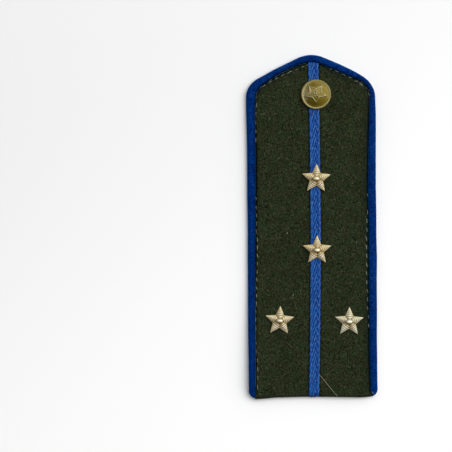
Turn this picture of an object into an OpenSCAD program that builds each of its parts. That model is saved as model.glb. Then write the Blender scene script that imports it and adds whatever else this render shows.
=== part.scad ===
// Cloth shoulder board with a piped edge, a centre braid, a button and four metal stars.
// It lies on its back: +Z is up, out of the face, and +Y runs towards the pointed end.
// Each piece below is a separate solid, and each one is drawn in its own module.

/* [Board] */
// Width over the piping
board_w = 60; // [50:1:75]
// Length from the lowest corner to the rounded point
board_len = 158.5; // [150:0.5:190]
// Height of the pointed end, from the shoulders' corners to the sharp point
point_rise = 14.5; // [10:0.5:20]
// Radius of the two shoulders
shoulder_r = 10; // [8:0.5:13]
// Radius of the point
apex_r = 13; // [10:0.5:18]
// Thickness over the piping
board_t = 3.2; // [2.6:0.1:4.2]
// How much lower the cloth lies than the top of the piping
cloth_drop = 0.2; // [0:0.05:0.4]
// How far the middle of the lower edge is hollowed
edge_hollow = 0.7; // [0.2:0.1:1.5]
// How far the lower edge is pulled up towards its right corner
corner_lift = 2; // [0:0.25:3]
// How far the piping's lower corners stop above the cloth's edge
corner_step = 0.2; // [0:0.05:0.5]
// Width over which the cloth sinks towards the seam
seam_dip_w = 1.4; // [0.6:0.1:2.5]

/* [Piping] */
// Width of the piping on the face
piping_w = 3.4; // [2.8:0.1:4.5]
// Thickness of the piping cloth
piping_cloth_t = 1.1; // [0.8:0.05:1.2]

/* [Braid] */
// Width of the braid
braid_w = 5; // [3:0.25:7]
// Thickness of the braid
braid_t = 0.75; // [0.5:0.05:1.2]
// Distance of the braid from the centre line at the point
braid_off_top = 1.9; // [0:0.1:3]
// Distance of the braid from the centre line at the lower edge
braid_off_low = 1.1; // [0:0.1:3]
// How far the braid is pressed into the lower edge
braid_sink = 0.5; // [0:0.05:0.8]

/* [Button] */
// Diameter of the button
button_d = 14; // [12:0.5:18]
// Distance from the point of the board to the middle of the button
button_from_point = 18.1; // [16:0.1:26]
// Diameter of the rolled rim
button_rim_d = 1.3; // [0.9:0.05:1.6]
// Height of the domed face above the rim's middle
button_dome_h = 1.2; // [0.8:0.1:1.8]
// Thickness of the stamped sheet
button_sheet_t = 0.5; // [0.3:0.05:0.7]
// Height of the relief on the button
button_relief_h = 0.28; // [0.15:0.01:0.4]
// Gap between the points of the button's star and the rim
button_star_gap = 0.95; // [0.5:0.05:1.5]
// Width of the raised outline of that star
button_line_w = 0.55; // [0.3:0.05:0.7]
// Diameter of the hidden post under the button
button_post_d = 2.2; // [1.5:0.1:3]

/* [Stars] */
// Radius of a star to the tips of its rays
star_r = 6.95; // [5:0.05:8.5]
// Radius of a star to its notches
notch_r = 3.3; // [2.6:0.05:4]
// Thickness of a star at its edges
star_edge_t = 0.5; // [0.3:0.05:0.8]
// Rise of the middle of a star above its edges
star_rise = 1.1; // [0.7:0.05:1.6]
// Distance between the ribs across a ray
rib_pitch = 0.6; // [0.5:0.05:0.9]
// Height of the ribs
rib_h = 0.16; // [0.05:0.01:0.3]
// Radius of the domed boss in the middle
boss_r = 1.45; // [1:0.05:1.8]
// Diameter of the hidden post under a star
star_post_d = 1.2; // [0.8:0.1:1.6]
// Distance from the lower edge to the upper star
upper_star_y = 101.5; // [95:0.5:115]
// Distance from the lower edge to the middle star
middle_star_y = 68.4; // [60:0.1:78]
// Distance from the lower edge to the two lower stars
lower_star_y = 35.6; // [25:0.1:45]
// Distance from the middle of a lower star to the piping, on the average of the two
lower_star_side = 10.5; // [9.5:0.1:13]
// How much higher the left one of them sits
lower_star_skew = 0.4; // [0:0.1:1]
// How far the button and the upper stars sit to the right of the braid's middle
badge_off = 0.9; // [0:0.1:1.5]

/* [Fits] */
// Gap between neighbouring pieces
gap = 0.1; // [0.05:0.01:0.15]
// Gap round a post in its hole
post_gap = 0.15; // [0.05:0.01:0.25]
// How far a post stops short of the board's back
post_stop = 0.6; // [0.4:0.1:1]

/* [Hidden] */
$fn = 64;

half_w = board_w / 2;
cloth_t = board_t - cloth_drop;
slope = atan(point_rise / half_w);
sharp_point_y = board_len + apex_r * (1 / cos(slope) - 1);
shoulder_y = sharp_point_y - point_rise - shoulder_r * tan((90 - slope) / 2);

// The piping's lower corners, and the line along it where the cloth begins
corner_r = piping_w + gap;
cloth_inset = piping_w + 2 * gap;

// The pocket inside the folded piping, and the board's flat tongue that fills it up to its round end
pocket_low = piping_cloth_t;
pocket_high = board_t - piping_cloth_t;
pocket_r = (pocket_high - pocket_low) / 2;
tongue_inset = piping_cloth_t + pocket_r;

// The notch in the lower edge that the braid turns down into
notch_left = braid_off_low - braid_w / 2 - gap;
notch_right = braid_off_low + braid_w / 2 + gap;
notch_flare = 0.3;
notch_y = edge_y(braid_off_low) + braid_sink;

// Heights of the faces that the braid and the metal rest on
braid_low = cloth_t + gap;
badge_low = braid_low + braid_t + gap;
star_low = cloth_t + gap;

// Steps along the board's rounded corners, and round the edge of a piece of cloth
corner_steps = 8;
edge_steps = 6;

// The upper, middle, lower left and lower right star: distance from the centre line, distance from
// the lower edge, height, and turn in degrees
STAR_X = 0;
STAR_Y = 1;
STAR_Z = 2;
STAR_TURN = 3;
lower_star_reach = half_w - piping_w - lower_star_side;
STARS = [
    [badge_x(upper_star_y), upper_star_y, badge_low, -0.5],
    [badge_x(middle_star_y), middle_star_y, badge_low, 0.3],
    [braid_x(lower_star_y) - lower_star_reach, lower_star_y + lower_star_skew / 2, star_low, -2.9],
    [braid_x(lower_star_y) + lower_star_reach, lower_star_y - lower_star_skew / 2, star_low, -2.8]
];
button_y = board_len - button_from_point;

// Height of the lower edge at a distance x from the centre line: a shallow hollow that is 0 at the
// cloth's left end and is pulled up near its right end
function edge_y(x) = edge_hollow * (pow(1 - cloth_inset / half_w, 2) - pow(x / half_w, 2))
    + corner_lift * pow(max(0, 3 * x / half_w - 2), 2);

// Distance of the braid's middle from the centre line at a height y
function braid_x(y) = braid_off_low + (braid_off_top - braid_off_low) * y / board_len;

// Distance of the button and the upper stars from the centre line at a height y
function badge_x(y) = braid_x(y) + badge_off;

// Numbers from a to b in the given count of equal steps
function steps(a, b, count) = [for (i = [0:count]) a + (b - a) * i / count];

// The piped edge's rounded corners, from the lower right one round to the lower left one: middle,
// radius, and the directions in degrees where each begins and ends
CORNER_X = 0;
CORNER_Y = 1;
CORNER_R = 2;
CORNER_FROM = 3;
CORNER_TO = 4;
CORNERS = [
    [half_w - corner_r, edge_y(half_w - corner_r) + corner_step + corner_r, corner_r, -90, 0],
    [half_w - shoulder_r, shoulder_y, shoulder_r, 0, 90 - slope],
    [0, board_len - apex_r, apex_r, 90 - slope, 90 + slope],
    [shoulder_r - half_w, shoulder_y, shoulder_r, 90 + slope, 180],
    [corner_r - half_w, edge_y(corner_r - half_w) + corner_step + corner_r, corner_r, 180, 270]
];

// The point of a corner in direction t that lies an inset inside the board's outline
function corner_point(row, t, inset = 0) =
    [row[CORNER_X], row[CORNER_Y]] + (row[CORNER_R] - inset) * [cos(t), sin(t)];

// Points along the corners in the given list of rows, an inset inside the board's outline
function corner_points(rows, inset) =
    [for (row = rows, t = steps(row[CORNER_FROM], row[CORNER_TO], corner_steps))
        corner_point(row, t, inset)];

// Outline of the cloth inside the seam: the lower edge from left to right, with the flared notch
// that the braid turns down into, and then the sides and the point
function cloth_outline(inset, low_inset) = concat(
    [for (x = steps(inset - half_w, notch_left - notch_flare, corner_steps)) [x, edge_y(x) + low_inset]],
    [for (x = [notch_left, notch_right]) [x, notch_y + low_inset]],
    [for (x = steps(notch_right + notch_flare, half_w - inset, corner_steps)) [x, edge_y(x) + low_inset]],
    corner_points([for (i = [1:3]) CORNERS[i]], inset));

// Faces round a tube, between rings that have the same number of points
function side_faces(rings, size) = [for (i = [0:rings - 2], j = [0:size - 1])
    let (a = i * size + j, b = i * size + (j + 1) % size) each [[a, b + size, b], [a, a + size, b + size]]];

// Faces that close the ring beginning at point a by spreading out from the point in its middle
function spread_faces(a, size, middle) = [for (j = [0:size - 1]) [a + j, a + (j + 1) % size, middle]];

// Faces that close the ring beginning at point a, whose second half runs back beside its first half
function strip_faces(a, size) = [for (j = [0:size / 2 - 2])
    each [[a + j, a + j + 1, a + size - 2 - j], [a + j, a + size - 2 - j, a + size - 1 - j]]];

function flipped(faces) = [for (face = faces) [face[2], face[1], face[0]]];
function middle_of(ring) = [for (p = ring) 1] * ring / len(ring);

// A solid through a list of rings of points, each ring seen anticlockwise from the next one. A
// ring's end face spreads out from its middle, or is a strip where the ring is a folded sheet.
module loft(rings, folded = false) {
    size = len(rings[0]);
    last = len(rings) - 1;
    count = len(rings) * size;
    polyhedron(
        concat([for (ring = rings) each ring], folded ? [] : [middle_of(rings[0]), middle_of(rings[last])]),
        concat(
            side_faces(len(rings), size),
            folded ? strip_faces(0, size) : spread_faces(0, size, count),
            flipped(folded ? strip_faces(last * size, size) : spread_faces(last * size, size, count + 1))),
        convexity = 10);
}

// The thick part of the board: its lower edge is fully round, and its top sinks towards the seam
module cloth_slab() {
    loft([for (t = steps(-90, 90, edge_steps))
        let (inset = cloth_inset + seam_dip_w * (1 - cos(max(t, 0))))
            [for (p = cloth_outline(inset, cloth_t / 2 * (1 - cos(t))))
                [p[0], p[1], cloth_t / 2 * (1 + sin(t))]]]);
}

// The thin tongue that reaches under the piping all round
module cloth_tongue() {
    translate([0, 0, pocket_low + gap])
        linear_extrude(pocket_high - pocket_low - 2 * gap)
            polygon(corner_points(CORNERS, tongue_inset));
}

// The holes for the posts of the button and the stars, closed towards the board's back
module post_holes() {
    translate([badge_x(button_y), button_y, post_stop - post_gap])
        cylinder(d = button_post_d + 2 * post_gap, h = badge_low);
    for (star = STARS)
        translate([star[STAR_X], star[STAR_Y], post_stop - post_gap])
            cylinder(d = star_post_d + 2 * post_gap, h = badge_low);
}

// Moves a piece from its distance to the lower edge to its place about the board's middle
module placed() {
    translate([0, -board_len / 2, 0]) children();
}

module cloth_field() {
    color("#2b3122") placed() difference() {
        union() {
            cloth_slab();
            cloth_tongue();
        }
        post_holes();
    }
}

// One face of the piping, a strip of cloth folded over the board's edge, as [inset, height] from
// its upper lip to its lower one. The fold has its middle at the inset x and the radius r, and
// side is 1 for the outer face and -1 for the inner one.
function fold_face(x, r, side) = let (lip_r = piping_cloth_t / 2, lip_x = piping_w - lip_r) concat(
    [for (t = [30, 60, 90]) [lip_x + lip_r * cos(t), board_t - lip_r + side * lip_r * sin(t)]],
    [for (t = steps(90, 270, 2 * edge_steps)) [x + r * cos(t), board_t / 2 + r * sin(t)]],
    [for (t = [90, 60, 30]) [lip_x + lip_r * cos(t), lip_r - side * lip_r * sin(t)]]);

// Section of the piping: along its outer face and back along its inner one
function fold_section() = let (inner = fold_face(piping_cloth_t + pocket_r, pocket_r, -1))
    concat(fold_face(board_t / 2, board_t / 2, 1), [for (i = [len(inner) - 1:-1:0]) inner[i]]);

module piping() {
    color("#0b2a78") placed() loft(
        [for (row = CORNERS, t = steps(row[CORNER_FROM], row[CORNER_TO], corner_steps))
            [for (q = fold_section()) let (p = corner_point(row, t, q[0])) [p[0], p[1], q[1]]]],
        folded = true);
}

// Section of the braid as [distance from its middle, height]: flat, with round edges
function braid_section() = let (r = braid_t / 2, flat = braid_w / 2 - r) concat(
    [for (t = steps(-90, 90, edge_steps)) [flat + r * cos(t), r + r * sin(t)]],
    [for (t = steps(90, 270, edge_steps)) [-flat + r * cos(t), r + r * sin(t)]]);

// Stations along the braid as [x, y, z, turn]: up the round lower edge, then along the face
function braid_stations() = let (
        turn_r = cloth_t / 2 + gap,
        turn_y = notch_y + cloth_t / 2)
    concat(
        [for (t = steps(90, 0, edge_steps))
            [braid_off_low, turn_y - turn_r * sin(t), cloth_t / 2 + turn_r * cos(t), t]],
        [[braid_off_top, board_len, braid_low, 0]]);

module centre_braid() {
    color("#2b5cb8") placed() difference() {
        intersection() {
            loft([for (s = braid_stations()) [for (q = braid_section())
                [s[0] + q[0], s[1] - q[1] * sin(s[3]), s[2] + q[1] * cos(s[3])]]]);
            translate([0, 0, -1])
                linear_extrude(board_t + braid_t + 2)
                    polygon(cloth_outline(cloth_inset, -2 * board_t));
        }
        post_holes();
    }
}

// Corners of a star with five rays, the first ray along +Y
function star_corners(tip, notch) =
    [for (i = [0:9]) (i % 2 == 0 ? tip : notch) * [sin(-36 * i), cos(36 * i)]];

button_rim_r = button_rim_d / 2;
button_field_r = button_d / 2 - button_rim_r;
button_dome_r = (pow(button_field_r, 2) + pow(button_dome_h, 2)) / (2 * button_dome_h);
button_star_r = button_field_r - button_rim_r - button_star_gap;
button_notch_r = 0.55 * button_star_r;
rosette_bead_r = button_star_r / 12;

// A ball whose top lies over the button's domed face, thicker or thinner by the given amount
module dome_ball(extra) {
    translate([0, 0, button_rim_r + button_dome_h - button_dome_r])
        sphere(r = button_dome_r + extra, $fn = 128);
}

// The raised outline of the inverted star, following the dome
module button_star() {
    outer = star_corners(button_star_r, button_notch_r);
    side_d = button_star_r * button_notch_r * sin(36) / norm(outer[1] - outer[0]);
    intersection() {
        translate([0, 0, button_rim_r]) rotate(180) linear_extrude(button_dome_h + button_relief_h)
            difference() {
                polygon(outer);
                polygon((1 - button_line_w / side_d) * outer);
            }
        dome_ball(button_relief_h);
    }
}

// A small rosette of beads in the middle of the star
module button_rosette() {
    bead_z = button_rim_r + button_dome_h;
    translate([0, 0, bead_z]) sphere(r = 1.4 * rosette_bead_r, $fn = 24);
    for (i = [0:4])
        rotate(72 * i + 36) translate([2.6 * rosette_bead_r, 0, bead_z - rosette_bead_r / 4])
            sphere(r = rosette_bead_r, $fn = 24);
}

// The stamped sheet: a rolled rim and a domed face, hollow underneath
module button_shell() {
    translate([0, 0, button_rim_r])
        rotate_extrude() translate([button_field_r, 0]) circle(r = button_rim_r);
    difference() {
        intersection() {
            translate([0, 0, button_rim_r / 2])
                cylinder(r = button_field_r, h = button_dome_h + button_rim_r);
            dome_ball(0);
        }
        intersection() {
            translate([0, 0, -1])
                cylinder(r = button_field_r - button_rim_r, h = button_dome_h + 3);
            dome_ball(-button_sheet_t);
        }
    }
}

module button() {
    post_top = button_rim_r + button_dome_h - button_sheet_t / 2;
    color("#80713a") placed() translate([badge_x(button_y), button_y, badge_low]) {
        button_shell();
        button_star();
        button_rosette();
        translate([0, 0, post_stop - badge_low])
            cylinder(d = button_post_d, h = badge_low - post_stop + post_top);
    }
}

// Distance from a star's middle to the line between two notches, and half of that line
notch_d = notch_r * cos(36);
notch_w = notch_r * sin(36);

// Stations along a ray, one at the line between its notches; every second one is a rib's crest
ribs_in = floor((notch_d - boss_r * 0.7) / (rib_pitch / 2));
ribs_out = floor(0.65 * (star_r - notch_d) / (rib_pitch / 2));
function ray_d(k) = notch_d + k * rib_pitch / 2;
function rib_z(k) = k % 2 == 0 ? rib_h : 0;

// Half the width of a ray, and the height of its ridge, at a distance d from the star's middle
function ray_w(d) = d < notch_d ? d * tan(36) : notch_w * (star_r - d) / (star_r - notch_d);
function ridge_z(d) = star_edge_t + star_rise * (1 - d / star_r);
function side_z(d) = star_edge_t + max(0, star_rise * (1 - d / notch_d)) / 2;

// Points of one ray before it is turned into place: ridge, left side and right side at each
// station, then the tip, and below them the points of the flat underside
function ray_points() = concat(
    [for (k = [-ribs_in:ribs_out]) let (d = ray_d(k))
        each [[0, d, ridge_z(d) + rib_z(k)],
              [-ray_w(d), d, side_z(d) + rib_z(k) / 2],
              [ray_w(d), d, side_z(d) + rib_z(k) / 2]]],
    [[0, star_r, star_edge_t], [0, star_r, 0]],
    [for (k = [0:ribs_out]) let (d = ray_d(k)) each [[-ray_w(d), d, 0], [ray_w(d), d, 0]]],
    [[0, 0, ridge_z(0)], [0, 0, 0]]);

// Where each of those points is in the list
stations = ribs_in + ribs_out + 1;
function top_id(k, side) = 3 * (k + ribs_in) + side;
tip_id = 3 * stations;
function low_id(k, side) = tip_id + 2 + 2 * k + side - 1;
middle_id = tip_id + 2 + 2 * (ribs_out + 1);

// Faces of one ray: ribbed top, walls down its two outer sides, and underside. The ray's cut
// sides against its neighbours stay open, because the neighbour's ray closes them.
function ray_faces() = concat(
    [for (k = [-ribs_in:ribs_out - 1]) each [
        [top_id(k, 0), top_id(k, 1), top_id(k + 1, 0)],
        [top_id(k, 1), top_id(k + 1, 1), top_id(k + 1, 0)],
        [top_id(k, 0), top_id(k + 1, 0), top_id(k, 2)],
        [top_id(k, 2), top_id(k + 1, 0), top_id(k + 1, 2)]]],
    [for (k = [0:ribs_out - 1]) each [
        [top_id(k, 1), low_id(k, 1), low_id(k + 1, 1), top_id(k + 1, 1)],
        [top_id(k, 2), top_id(k + 1, 2), low_id(k + 1, 2), low_id(k, 2)],
        [low_id(k, 1), low_id(k, 2), low_id(k + 1, 2), low_id(k + 1, 1)]]],
    [[top_id(ribs_out, 1), tip_id, top_id(ribs_out, 0)],
     [top_id(ribs_out, 0), tip_id, top_id(ribs_out, 2)],
     [top_id(ribs_out, 1), low_id(ribs_out, 1), tip_id + 1, tip_id],
     [top_id(ribs_out, 2), tip_id, tip_id + 1, low_id(ribs_out, 2)],
     [low_id(ribs_out, 1), low_id(ribs_out, 2), tip_id + 1],
     [middle_id, top_id(-ribs_in, 1), top_id(-ribs_in, 0)],
     [middle_id, top_id(-ribs_in, 0), top_id(-ribs_in, 2)],
     [middle_id + 1, low_id(0, 2), low_id(0, 1)]]);

function turned(p, a) = [p[0] * cos(a) - p[1] * sin(a), p[0] * sin(a) + p[1] * cos(a), p[2]];

// The five rays share their cut sides, so that together they close into one solid
module ribbed_star() {
    count = len(ray_points());
    polyhedron(
        [for (i = [0:4], p = ray_points()) turned(p, 72 * i)],
        [for (i = [0:4], face = ray_faces()) [for (id = face) id + i * count]],
        convexity = 10);
}

// The domed boss, cut off inside the star
module boss() {
    intersection() {
        translate([0, 0, star_edge_t + star_rise * 0.75]) sphere(r = boss_r);
        translate([0, 0, star_edge_t / 2]) cylinder(r = 2 * boss_r, h = star_rise + 2 * boss_r);
    }
}

// A star with its boss and its hidden post, in its place on the board
module star(row) {
    color("#c8bd9f") placed() translate([row[STAR_X], row[STAR_Y], row[STAR_Z]]) rotate(row[STAR_TURN]) {
        ribbed_star();
        boss();
        translate([0, 0, post_stop - row[STAR_Z]])
            cylinder(d = star_post_d, h = row[STAR_Z] - post_stop + star_edge_t);
    }
}

module star_upper() {
    star(STARS[0]);
}

module star_middle() {
    star(STARS[1]);
}

module star_lower_left() {
    star(STARS[2]);
}

module star_lower_right() {
    star(STARS[3]);
}

cloth_field();
piping();
centre_braid();
button();
star_upper();
star_middle();
star_lower_left();
star_lower_right();
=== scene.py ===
"""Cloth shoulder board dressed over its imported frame: wool field, piping, plait, button and four stars.

Shapes are worked out in millimetres for a board that lies flat, with x across it from its middle, y from
its lower edge towards the point, and z up from its back. lay_mesh bows them as the real board is bowed,
and puts them in the frame's place, in metres.
"""

import bpy
import numpy as np
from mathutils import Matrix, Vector


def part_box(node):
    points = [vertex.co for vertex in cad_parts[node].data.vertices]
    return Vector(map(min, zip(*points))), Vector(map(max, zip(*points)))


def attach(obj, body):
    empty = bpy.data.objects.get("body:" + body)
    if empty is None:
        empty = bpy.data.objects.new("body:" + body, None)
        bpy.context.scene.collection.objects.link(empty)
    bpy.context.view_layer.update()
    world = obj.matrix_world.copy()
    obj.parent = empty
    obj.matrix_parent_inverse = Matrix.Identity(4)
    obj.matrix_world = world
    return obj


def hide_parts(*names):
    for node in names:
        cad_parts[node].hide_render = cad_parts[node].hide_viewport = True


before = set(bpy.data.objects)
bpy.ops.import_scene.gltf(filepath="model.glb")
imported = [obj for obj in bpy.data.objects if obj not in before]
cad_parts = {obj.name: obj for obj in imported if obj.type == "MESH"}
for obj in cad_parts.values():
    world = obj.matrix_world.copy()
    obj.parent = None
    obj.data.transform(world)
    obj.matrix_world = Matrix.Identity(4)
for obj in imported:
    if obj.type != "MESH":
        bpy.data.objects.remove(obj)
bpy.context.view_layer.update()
MM = 0.001


def top_corner(node):
    """Highest corner of a node's box in the frame, to a hundredth of a millimetre."""
    return np.round(np.array(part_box(node)[1]) / MM, 2)


# Board: the frame's own sizes, measured from its origin in the middle of the board's back
HALF_W, HALF_LEN, BOARD_T = top_corner("piping")
BOARD_LEN = 2 * HALF_LEN
CLOTH_T = top_corner("cloth_field")[2]

# Outline: how far the point rises over the shoulders, how round both are, how deep the lower edge is
# hollowed, how far its right corner is pulled up, and how far the piping's corners lie above it
POINT_RISE = 14.5
SHOULDER_R = 10.0
APEX_R = 13.0
EDGE_HOLLOW = 0.7
CORNER_LIFT = 2.0
CORNER_STEP = 0.2

# Above this height a place belongs to the pointed end
POINT_FROM = 100.0

# How far the board stands off the floor at its lower left side, and at its lower edge right of the braid
LEFT_LIFT = 1.6
RIGHT_LIFT = 0.4

# Piping: its plain width, where along the outline it starts, the width and height of the two roundings of
# its lip, above and below, and how round the lower corners are, a little more than its width
PIPING_W = 3.4
PIPING_START = 1.2
LIP_TOP = (0.65, 0.8)
LIP_FOOT = (0.45, 0.5)
CORNER_R = PIPING_W + 0.1

# Wool: how far inside the outline it begins beside plain piping, how wide its dip into the seam is, and
# how its grid is spaced: the dip's share of a column at the tip, points in the dip, columns and rows of
# the face, points round the lower edge, and points of the face to one of the underside
CLOTH_INSET = PIPING_W + 0.2
SEAM_DIP_W = 1.4
TIP_DIP = 1.7 / 155
DIP_POINTS = 10
FACE_COLUMNS = 141
FACE_ROWS = 375
EDGE_POINTS = 8
UNDER_STEP = 15
NAP_FIBRES = 6000

# Stitches: their length, the usual step from one to the next, half their thickness, where the longest one
# and the second one beside it lie, and both ends of the slanting one at each lower corner
STITCH_LEN = 2.1
STITCH_PITCH = 3.8
STITCH_R = 0.17
LONG_STITCH = 150.1
SECOND_STITCH = 150.6
CORNER_STITCHES = np.array([[[-25.0, 2.45], [-24.0, 2.1]], [[27.2, 3.1], [28.1, 1.8]]])

# Braid: its width and thickness, how far it is pressed into the lower edge, its strands, the way from one
# crossing to the next, how pointed their swing is, half a strand's width and thickness, the sides of its
# tube, its plies, and the length in which these turn once
BRAID_W = 4.85
BRAID_T = 0.75
BRAID_SINK = 0.85
STRANDS = 9
CROSSING = 3.5
SWING_BOW = 0.9
STRAND_W = 0.41
STRAND_T = 0.2
STRAND_SIDES = 16
PLIES = 4
PLY_LEN = 4.3

# Button and stars: x, y and z of the middle of the underside, a star's turn in degrees, and how grey it is
BUTTON_AT = (2.58, 140.4, 3.95)
STARS = {
    "star_upper": (2.38, 101.45, 3.95, -2.0, 0.1),
    "star_middle": (2.45, 68.45, 3.95, -0.7, 0.0),
    "star_lower_left": (-15.05, 35.95, 3.1, -3.2, 0.3),
    "star_lower_right": (17.05, 35.27, 3.1, -1.8, 1.0),
}

# Star: how far its tips and its notches reach, the turn from a ray to a notch, and the step between ribs
STAR_R = 7.05
NOTCH_R = 3.3
NOTCH_TURN = np.pi / 5
RIB_PITCH = 0.84

# Button: its dome's top and roundness, where the dome ends, the rolled rim, and the tips and notches of
# the star on it
DOME_TOP = 1.85
DOME_R = 20.0
DOME_END = 5.95
RIM_R = 6.4
RIM_W = 0.6
RIM_T = 0.55
BUTTON_STAR_R = 4.75
BUTTON_NOTCH_R = 2.61

# Light: where a wall of the room begins to shine and where it shines in full, each as the cosine of the
# angle from the wall's direction
WALL_FROM = 0.35
WALL_FULL = 0.85

# Camera: its distance in metres, the width that the photograph spans and one pixel of it, how many pixels
# its middle lies right of and above the board's, and how many degrees the board leans in it
CAMERA_FAR = 1.2
VIEW_W = 209.0
PIXEL = 0.4624
VIEW_FROM_BOARD = np.array([-85.35, 0.9])
BOARD_LEAN = 0.47


# Plain curves

def ramp(value, low, high):
    """0 below low and 1 above high, with an eased rise between them."""
    t = np.clip((value - low) / (high - low), 0, 1)
    return t * t * (3 - 2 * t)


def quarter(part):
    """Height of a quarter circle, from 0 where part is 0 to 1 where it is 1."""
    return np.sqrt(np.clip(1 - (1 - np.clip(part, 0, 1)) ** 2, 0, 1))


def bell(off, width, power=2):
    """1 in the middle and falling off to both sides: e to the minus an even power of off over width."""
    return np.exp(-(off / width) ** power)


def eased(table, reach, step=0.25):
    """A smooth curve through a short table: straight pieces, averaged over a sliding window."""
    at, value = np.array(table, float).T
    fine = np.arange(at[0] - 2 * reach, at[-1] + 2 * reach, step)
    window = np.hanning(int(reach / step) * 2 + 1)
    padded = np.pad(np.interp(fine, at, value), len(window) // 2, mode="edge")
    smooth = np.convolve(padded, window / window.sum(), mode="valid")
    return lambda s: np.interp(s, fine, smooth)


def lumps(x, y, cell, seed):
    """Smooth random heights from -1 to 1: random values on a square lattice, eased between its points."""
    field = np.random.default_rng(seed).uniform(-1, 1, (256, 256))
    i, j = np.floor(x / cell).astype(int), np.floor(y / cell).astype(int)
    u, v = ramp(x / cell - i, 0, 1), ramp(y / cell - j, 0, 1)
    i, j, i2, j2 = i % 256, j % 256, (i + 1) % 256, (j + 1) % 256
    near = field[i, j] * (1 - u) + field[i2, j] * u
    far = field[i, j2] * (1 - u) + field[i2, j2] * u
    return near * (1 - v) + far * v


# Outline

# The slope of the point's two sides, the height where they would meet, and the middle of the shoulders
SLOPE = np.arctan(POINT_RISE / HALF_W)
SHARP_Y = BOARD_LEN + APEX_R * (1 / np.cos(SLOPE) - 1)
SHOULDER_Y = SHARP_Y - POINT_RISE - SHOULDER_R * np.tan((np.pi / 2 - SLOPE) / 2)


def lower_edge(x):
    """Height of the lower edge: a shallow parabola that crosses zero where the wool ends, and the square
    of how far x is into the last third on the right, which pulls that corner up."""
    hollow = EDGE_HOLLOW * ((1 - CLOTH_INSET / HALF_W) ** 2 - (x / HALF_W) ** 2)
    return hollow + CORNER_LIFT * np.maximum(0, 3 * x / HALF_W - 2) ** 2


def corner_rows():
    """The rounded corners from the lower right one round to the lower left one: x and y of the middle,
    radius, and the outward direction where the corner starts and where it ends."""
    square = np.pi / 2
    low_x = HALF_W - CORNER_R
    low_y = CORNER_STEP + CORNER_R
    return np.array([
        [low_x, lower_edge(low_x) + low_y, CORNER_R, -square, 0],
        [HALF_W - SHOULDER_R, SHOULDER_Y, SHOULDER_R, 0, square - SLOPE],
        [0, BOARD_LEN - APEX_R, APEX_R, square - SLOPE, square + SLOPE],
        [SHOULDER_R - HALF_W, SHOULDER_Y, SHOULDER_R, square + SLOPE, 2 * square],
        [-low_x, lower_edge(-low_x) + low_y, CORNER_R, 2 * square, 3 * square],
    ])


CORNERS = corner_rows()


def edge_stations(step=0.25):
    """Points along the outline, the outward direction there and the length up to there: on a corner the
    direction turns, and on the run after it the middle and the radius slide to the next corner's."""
    rows = []
    for here, after in zip(CORNERS, [*CORNERS[1:], None]):
        x, y, radius, start, end = here
        turn = np.linspace(start, end, int(radius * (end - start) / step) + 2)
        rows.append(np.stack(np.broadcast_arrays(x, y, radius, turn), 1))
        if after is not None:
            part = np.linspace(0, 1, int(np.hypot(*(after - here)[:2]) / step))[1:-1, None]
            slid = here[:3] + part * (after[:3] - here[:3])
            rows.append(np.column_stack([slid, np.full(len(slid), end)]))
    rows = np.concatenate(rows)
    out = np.stack([np.cos(rows[:, 3]), np.sin(rows[:, 3])], 1)
    rim = rows[:, :2] + rows[:, 2:3] * out
    along = np.concatenate([[0], np.cumsum(np.hypot(*np.diff(rim, axis=0).T))])
    return rim, out, along


RIM, OUT, ALONG = edge_stations()


def on_edge(s, inset):
    """Points at lengths s along the outline, an inset inside it."""
    rim = np.stack([np.interp(s, ALONG, RIM[:, k]) for k in (0, 1)], -1)
    out = np.stack([np.interp(s, ALONG, OUT[:, k]) for k in (0, 1)], -1)
    out /= np.linalg.norm(out, axis=-1, keepdims=True)
    return rim - inset[..., None] * out


def seam_place(x, y):
    """Depth inside the outline, length along it and outward direction of points on the board. Each run and
    each corner of the pointed end offers its own reading, a corner only inside its turn, and the one with
    the smallest depth wins."""
    best = np.stack(np.broadcast_arrays(np.inf, 0.0, 0.0, 0.0 * x))
    passed = CORNERS[0][2] * np.pi / 2
    for here, after in zip(CORNERS[:-1], CORNERS[1:]):
        way_x, way_y = np.cos(here[4]), np.sin(here[4])
        depth = here[2] - (x - here[0]) * way_x - (y - here[1]) * way_y
        along = passed + (y - here[1]) * way_x - (x - here[0]) * way_y
        run = np.stack(np.broadcast_arrays(depth, along, way_x, way_y))
        best = np.where(depth < best[0], run, best)
        passed += (after[1] - here[1]) * way_x - (after[0] - here[0]) * way_y
        middle_x, middle_y, radius, start, end = after
        turn = np.arctan2(y - middle_y, x - middle_x)
        depth = radius - np.hypot(x - middle_x, y - middle_y)
        corner = np.stack([depth, passed + radius * (turn - start), np.cos(turn), np.sin(turn)])
        nearer = (turn >= start) & (turn <= end) & (y > POINT_FROM) & (depth < best[0])
        best = np.where(nearer, corner, best)
        passed += radius * (end - start)
    return best[0], best[1], np.moveaxis(best[2:], 0, -1)


# Seam

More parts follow.
